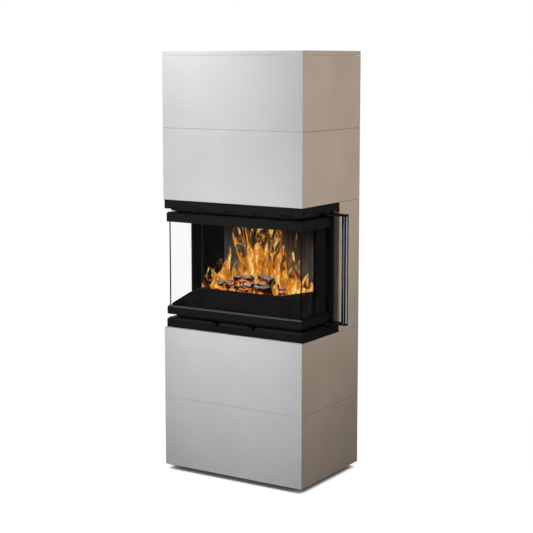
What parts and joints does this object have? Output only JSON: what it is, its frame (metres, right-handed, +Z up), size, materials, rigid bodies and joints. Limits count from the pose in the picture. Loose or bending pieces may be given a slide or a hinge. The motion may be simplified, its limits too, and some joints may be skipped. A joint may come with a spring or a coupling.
{
  "type": "tiled stove",
  "caption": "Tall tile-clad log stove with a glass door that wraps round three sides, a vertical bar handle, air levers and a flue outlet in the top",
  "frame": {"origin": "floor level, in the middle of the floor area that the stove takes up with its handle", "axes": "+Z is up, -Y is the front with the wide pane, +X is the side with the handle and the latch"},
  "size_m": [0.754, 0.47, 1.7823],
  "materials": {
    "front_tile": "smooth matt tile, light grey",
    "side_tile": "smooth matt tile, warm grey",
    "black_steel": "fine textured black stove paint",
    "inner_steel": "plain grey coat",
    "back_steel": "dark grey coat",
    "polished_steel": "polished tube",
    "glass": "clear fire glass",
    "lining": "sooted firebrick",
    "cast_iron": "bare, heat darkened",
    "rope": "glass fibre rope",
    "flue_steel": "dark stove paint",
    "embers": "glowing embers and ash",
    "charred_wood": "burning split logs"
  },
  "bodies": {
    "root": {"tile_1_front": "front_tile", "tile_1_left": "side_tile", "tile_1_right": "side_tile", "tile_2_front": "front_tile", "tile_2_left": "side_tile", "tile_2_right": "side_tile", "tile_3_front": "front_tile", "tile_3_left": "side_tile", "tile_3_right": "side_tile", "tile_4_front": "front_tile", "tile_4_left": "side_tile", "tile_4_right": "side_tile", "strip_tile_left": "side_tile", "strip_tile_right": "side_tile", "top_slab_front": "front_tile", "top_slab_left": "side_tile", "top_slab_right": "side_tile", "top_plate": "back_steel", "plinth_base": "black_steel", "levelling_foot_front_left": "inner_steel", "levelling_foot_front_right": "inner_steel", "levelling_foot_rear_left": "inner_steel", "levelling_foot_rear_right": "inner_steel", "support_frame": "inner_steel", "back_panel": "back_steel", "base_housing": "black_steel", "bottom_frame": "black_steel", "top_flange": "black_steel", "top_housing": "black_steel", "smoke_hood": "inner_steel", "flue_pipe": "flue_steel", "side_wall_left": "black_steel", "side_wall_right": "black_steel", "back_wall": "black_steel", "lining_left": "lining", "lining_right": "lining", "lining_back": "lining", "hearth_floor": "lining", "baffle": "lining", "ember_guard_front": "cast_iron", "ember_guard_left": "cast_iron", "ember_guard_right": "cast_iron", "air_inlet_elbow": "flue_steel", "latch_keeper": "inner_steel", "ember_bed": "embers", "log_stack": "charred_wood"},
    "door": {"door_rail_top": "black_steel", "door_rail_bottom": "black_steel", "hinge_stile": "black_steel", "latch_stile": "black_steel", "glass_front": "glass", "glass_left": "glass", "glass_right": "glass", "glass_retaining_frame": "black_steel", "door_gasket": "rope", "hinge_rod": "inner_steel"},
    "handle": {"handle_bar": "polished_steel", "handle_crank": "black_steel"},
    "primary_air_lever": {"air_lever_primary": "inner_steel"},
    "secondary_air_lever": {"air_lever_secondary": "inner_steel"}
  },
  "joints": [
    {"name": "door_hinge", "type": "hinge", "parent": "root", "child": "door", "pos_m": [-0.358, 0.021, 0.8935], "axis": [0, 0, -1], "range_deg": [0, 95]},
    {"name": "handle_turn", "type": "hinge", "parent": "door", "child": "handle", "pos_m": [0.284, 0.015, 0.8935], "axis": [0, 0, -1], "range_deg": [0, 22]},
    {"name": "primary_air_slide", "type": "slide", "parent": "root", "child": "primary_air_lever", "axis": [1, 0, 0], "range_m": [0, 0.01]},
    {"name": "secondary_air_slide", "type": "slide", "parent": "root", "child": "secondary_air_lever", "axis": [1, 0, 0], "range_m": [0, 0.01]}
  ]
}
